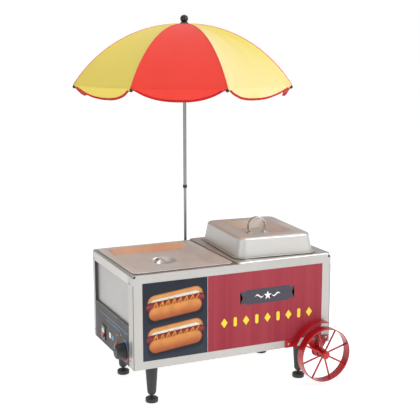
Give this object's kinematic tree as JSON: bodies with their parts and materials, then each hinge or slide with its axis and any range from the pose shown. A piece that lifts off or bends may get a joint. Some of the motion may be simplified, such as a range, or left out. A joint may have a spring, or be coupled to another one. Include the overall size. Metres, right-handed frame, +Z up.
{
  "type": "countertop hot dog steamer cart",
  "caption": "Countertop food steamer styled as a small cart: steel cabinet on legs, lidded pans, side controls, a decorative spoked wheel and a folding two-colour umbrella.",
  "frame": {"origin": "centre of the whole object's footprint box, on the counter plane under the feet", "axes": "+Z up, +X to the operator's left-to-right across the front as seen by a customer, -Y towards the front with the printed sheet"},
  "size_m": [0.7474, 0.8296, 1.16],
  "materials": {
    "cabinet_steel": "fine brushed stainless sheet",
    "lid_steel": "satin pressed stainless",
    "handle_steel": "polished",
    "fascia_grey": "satin dark grey overlay",
    "black_plastic": "moulded satin black",
    "knob_black": "moulded, ribbed grip",
    "rocker_plastic": "gloss off-white and red",
    "lamp_lens": "clear red lens",
    "graphic_print": "printed vinyl sheet",
    "red_paint": "gloss enamel",
    "pole_steel": "plated tube",
    "rib_steel": "plated wire with black plastic tip",
    "canopy_red": "woven coated polyester",
    "canopy_yellow": "woven coated polyester",
    "element_steel": "oxidised sheath",
    "cord_black": "black cord and plug",
    "screw_steel": "pan head"
  },
  "bodies": {
    "cabinet": {"front_shell": "cabinet_steel", "rear_shell": "cabinet_steel", "left_side_panel": "cabinet_steel", "right_side_panel": "cabinet_steel", "top_deck": "cabinet_steel", "pan_adapter_plate": "cabinet_steel", "base_plate": "cabinet_steel", "front_graphic": "graphic_print", "control_fascia": "fascia_grey", "switch_housing": "black_plastic", "thermostat_body": "black_plastic", "pilot_lamp": "lamp_lens", "water_well": "cabinet_steel", "heating_element": "element_steel", "legs": "black_plastic", "wheel_axle": "red_paint", "wheel_bracket": "red_paint", "wheel_fender": "red_paint", "pole_bracket": "cabinet_steel", "power_cord": "cord_black", "screws": "screw_steel"},
    "rocker": {"switch_rocker": "rocker_plastic"},
    "knob": {"control_knob": "knob_black"},
    "left_pan": {"left_pan": "lid_steel"},
    "flat_lid": {"flat_lid": "lid_steel", "flat_lid_handle": "handle_steel"},
    "right_pan": {"right_pan": "lid_steel"},
    "dome_lid": {"dome_lid": "lid_steel", "dome_handle": "handle_steel"},
    "foot_front_left": {"foot_front_left": "black_plastic"},
    "foot_front_right": {"foot_front_right": "black_plastic"},
    "foot_rear_left": {"foot_rear_left": "black_plastic"},
    "foot_rear_right": {"foot_rear_right": "black_plastic"},
    "wheel": {"wheel_rim": "red_paint", "wheel_spokes": "red_paint"},
    "clamp_knob": {"clamp_knob": "black_plastic"},
    "lower_rod": {"lower_rod": "pole_steel"},
    "umbrella_pole": {"upper_tube": "pole_steel", "collar": "black_plastic", "crown": "black_plastic", "finial": "black_plastic", "canopy_red_panels": "canopy_red", "canopy_yellow_panels": "canopy_yellow"},
    "runner": {"runner": "black_plastic"},
    "rib_1": {"rib_1": "rib_steel"},
    "stretcher_1": {"stretcher_1": "rib_steel"},
    "rib_2": {"rib_2": "rib_steel"},
    "stretcher_2": {"stretcher_2": "rib_steel"},
    "rib_3": {"rib_3": "rib_steel"},
    "stretcher_3": {"stretcher_3": "rib_steel"},
    "rib_4": {"rib_4": "rib_steel"},
    "stretcher_4": {"stretcher_4": "rib_steel"},
    "rib_5": {"rib_5": "rib_steel"},
    "stretcher_5": {"stretcher_5": "rib_steel"},
    "rib_6": {"rib_6": "rib_steel"},
    "stretcher_6": {"stretcher_6": "rib_steel"},
    "rib_7": {"rib_7": "rib_steel"},
    "stretcher_7": {"stretcher_7": "rib_steel"},
    "rib_8": {"rib_8": "rib_steel"},
    "stretcher_8": {"stretcher_8": "rib_steel"}
  },
  "joints": [
    {"name": "switch_rock", "type": "hinge", "parent": "cabinet", "child": "rocker", "pos_m": [-0.32634, -0.07451, 0.164], "axis": [0, -1, 0], "range_deg": [0, 20]},
    {"name": "knob_turn", "type": "hinge", "parent": "cabinet", "child": "knob", "pos_m": [-0.34234, -0.27351, 0.165], "axis": [1, 0, 0], "range_deg": [0, 300]},
    {"name": "left_pan_lift", "type": "slide", "parent": "cabinet", "child": "left_pan", "axis": [0, 0, 1], "range_m": [0, 0.13]},
    {"name": "flat_lid_lift", "type": "slide", "parent": "left_pan", "child": "flat_lid", "axis": [0, 0, 1], "range_m": [0, 0.12]},
    {"name": "right_pan_lift", "type": "slide", "parent": "cabinet", "child": "right_pan", "axis": [0, 0, 1], "range_m": [0, 0.13]},
    {"name": "dome_lid_lift", "type": "slide", "parent": "right_pan", "child": "dome_lid", "axis": [0, 0, 1], "range_m": [0, 0.12]},
    {"name": "foot_front_left_screw", "type": "slide", "parent": "cabinet", "child": "foot_front_left", "axis": [0, 0, 1], "range_m": [-0.012, 0]},
    {"name": "foot_front_right_screw", "type": "slide", "parent": "cabinet", "child": "foot_front_right", "axis": [0, 0, 1], "range_m": [-0.012, 0]},
    {"name": "foot_rear_left_screw", "type": "slide", "parent": "cabinet", "child": "foot_rear_left", "axis": [0, 0, 1], "range_m": [-0.012, 0]},
    {"name": "foot_rear_right_screw", "type": "slide", "parent": "cabinet", "child": "foot_rear_right", "axis": [0, 0, 1], "range_m": [-0.012, 0]},
    {"name": "wheel_spin", "type": "hinge", "parent": "cabinet", "child": "wheel", "pos_m": [0.28766, -0.39701, 0.104], "axis": [0, -1, 0], "continuous": true},
    {"name": "clamp_turn", "type": "hinge", "parent": "cabinet", "child": "clamp_knob", "pos_m": [-0.00034, 0.06149, 0.372], "axis": [0, 1, 0], "range_deg": [0, 360]},
    {"name": "umbrella_swivel", "type": "hinge", "parent": "cabinet", "child": "lower_rod", "pos_m": [-0.00034, 0.04149, 0.5], "axis": [0, 0, 1], "continuous": true},
    {"name": "pole_telescope", "type": "slide", "parent": "lower_rod", "child": "umbrella_pole", "axis": [0, 0, 1], "range_m": [0, 0.17]},
    {"name": "umbrella_fold", "type": "slide", "parent": "umbrella_pole", "child": "runner", "axis": [0, 0, -1], "range_m": [0, 0.2425], "stiffness_N_per_m": 30, "springref_m": -0.3, "deforming": ["canopy_red_panels", "canopy_yellow_panels"]},
    {"name": "rib_1_hinge", "type": "hinge", "parent": "umbrella_pole", "child": "rib_1", "pos_m": [0.01114, 0.04089, 1.125], "axis": [0.0523, 0.9986, 0], "range_deg": [0, 61.35]},
    {"name": "stretcher_1_hinge", "type": "hinge", "parent": "runner", "child": "stretcher_1", "pos_m": [0.01064, 0.04091, 0.968], "axis": [0.0523, 0.9986, 0], "range_deg": [-46.95, 0]},
    {"name": "rib_2_hinge", "type": "hinge", "parent": "umbrella_pole", "child": "rib_2", "pos_m": [0.00821, 0.04918, 1.125], "axis": [-0.6691, 0.7431, 0], "range_deg": [0, 61.35]},
    {"name": "stretcher_2_hinge", "type": "hinge", "parent": "runner", "child": "stretcher_2", "pos_m": [0.00783, 0.04885, 0.968], "axis": [-0.6691, 0.7431, 0], "range_deg": [-46.95, 0]},
    {"name": "rib_3_hinge", "type": "hinge", "parent": "umbrella_pole", "child": "rib_3", "pos_m": [0.00026, 0.05297, 1.125], "axis": [-0.9986, 0.0523, 0], "range_deg": [0, 61.35]},
    {"name": "stretcher_3_hinge", "type": "hinge", "parent": "runner", "child": "stretcher_3", "pos_m": [0.00024, 0.05248, 0.968], "axis": [-0.9986, 0.0523, 0], "range_deg": [-46.95, 0]},
    {"name": "rib_4_hinge", "type": "hinge", "parent": "umbrella_pole", "child": "rib_4", "pos_m": [-0.00804, 0.05004, 1.125], "axis": [-0.7431, -0.6691, 0], "range_deg": [0, 61.35]},
    {"name": "stretcher_4_hinge", "type": "hinge", "parent": "runner", "child": "stretcher_4", "pos_m": [-0.0077, 0.04967, 0.968], "axis": [-0.7431, -0.6691, 0], "range_deg": [-46.95, 0]},
    {"name": "rib_5_hinge", "type": "hinge", "parent": "umbrella_pole", "child": "rib_5", "pos_m": [-0.01182, 0.04209, 1.125], "axis": [-0.0523, -0.9986, 0], "range_deg": [0, 61.35]},
    {"name": "stretcher_5_hinge", "type": "hinge", "parent": "runner", "child": "stretcher_5", "pos_m": [-0.01132, 0.04207, 0.968], "axis": [-0.0523, -0.9986, 0], "range_deg": [-46.95, 0]},
    {"name": "rib_6_hinge", "type": "hinge", "parent": "umbrella_pole", "child": "rib_6", "pos_m": [-0.00889, 0.03379, 1.125], "axis": [0.6691, -0.7431, 0], "range_deg": [0, 61.35]},
    {"name": "stretcher_6_hinge", "type": "hinge", "parent": "runner", "child": "stretcher_6", "pos_m": [-0.00851, 0.03413, 0.968], "axis": [0.6691, -0.7431, 0], "range_deg": [-46.95, 0]},
    {"name": "rib_7_hinge", "type": "hinge", "parent": "umbrella_pole", "child": "rib_7", "pos_m": [-0.00094, 0.03001, 1.125], "axis": [0.9986, -0.0523, 0], "range_deg": [0, 61.35]},
    {"name": "stretcher_7_hinge", "type": "hinge", "parent": "runner", "child": "stretcher_7", "pos_m": [-0.00092, 0.03051, 0.968], "axis": [0.9986, -0.0523, 0], "range_deg": [-46.95, 0]},
    {"name": "rib_8_hinge", "type": "hinge", "parent": "umbrella_pole", "child": "rib_8", "pos_m": [0.00736, 0.03294, 1.125], "axis": [0.7431, 0.6691, 0], "range_deg": [0, 61.35]},
    {"name": "stretcher_8_hinge", "type": "hinge", "parent": "runner", "child": "stretcher_8", "pos_m": [0.00702, 0.03331, 0.968], "axis": [0.7431, 0.6691, 0], "range_deg": [-46.95, 0]}
  ],
  "couplings": [
    {"joint": "rib_1_hinge", "follows": "umbrella_fold", "rad_per_m": 4.3943},
    {"joint": "stretcher_1_hinge", "follows": "umbrella_fold", "rad_per_m": -3.3577},
    {"joint": "rib_2_hinge", "follows": "umbrella_fold", "rad_per_m": 4.3943},
    {"joint": "stretcher_2_hinge", "follows": "umbrella_fold", "rad_per_m": -3.3577},
    {"joint": "rib_3_hinge", "follows": "umbrella_fold", "rad_per_m": 4.3943},
    {"joint": "stretcher_3_hinge", "follows": "umbrella_fold", "rad_per_m": -3.3577},
    {"joint": "rib_4_hinge", "follows": "umbrella_fold", "rad_per_m": 4.3943},
    {"joint": "stretcher_4_hinge", "follows": "umbrella_fold", "rad_per_m": -3.3577},
    {"joint": "rib_5_hinge", "follows": "umbrella_fold", "rad_per_m": 4.3943},
    {"joint": "stretcher_5_hinge", "follows": "umbrella_fold", "rad_per_m": -3.3577},
    {"joint": "rib_6_hinge", "follows": "umbrella_fold", "rad_per_m": 4.3943},
    {"joint": "stretcher_6_hinge", "follows": "umbrella_fold", "rad_per_m": -3.3577},
    {"joint": "rib_7_hinge", "follows": "umbrella_fold", "rad_per_m": 4.3943},
    {"joint": "stretcher_7_hinge", "follows": "umbrella_fold", "rad_per_m": -3.3577},
    {"joint": "rib_8_hinge", "follows": "umbrella_fold", "rad_per_m": 4.3943},
    {"joint": "stretcher_8_hinge", "follows": "umbrella_fold", "rad_per_m": -3.3577}
  ]
}
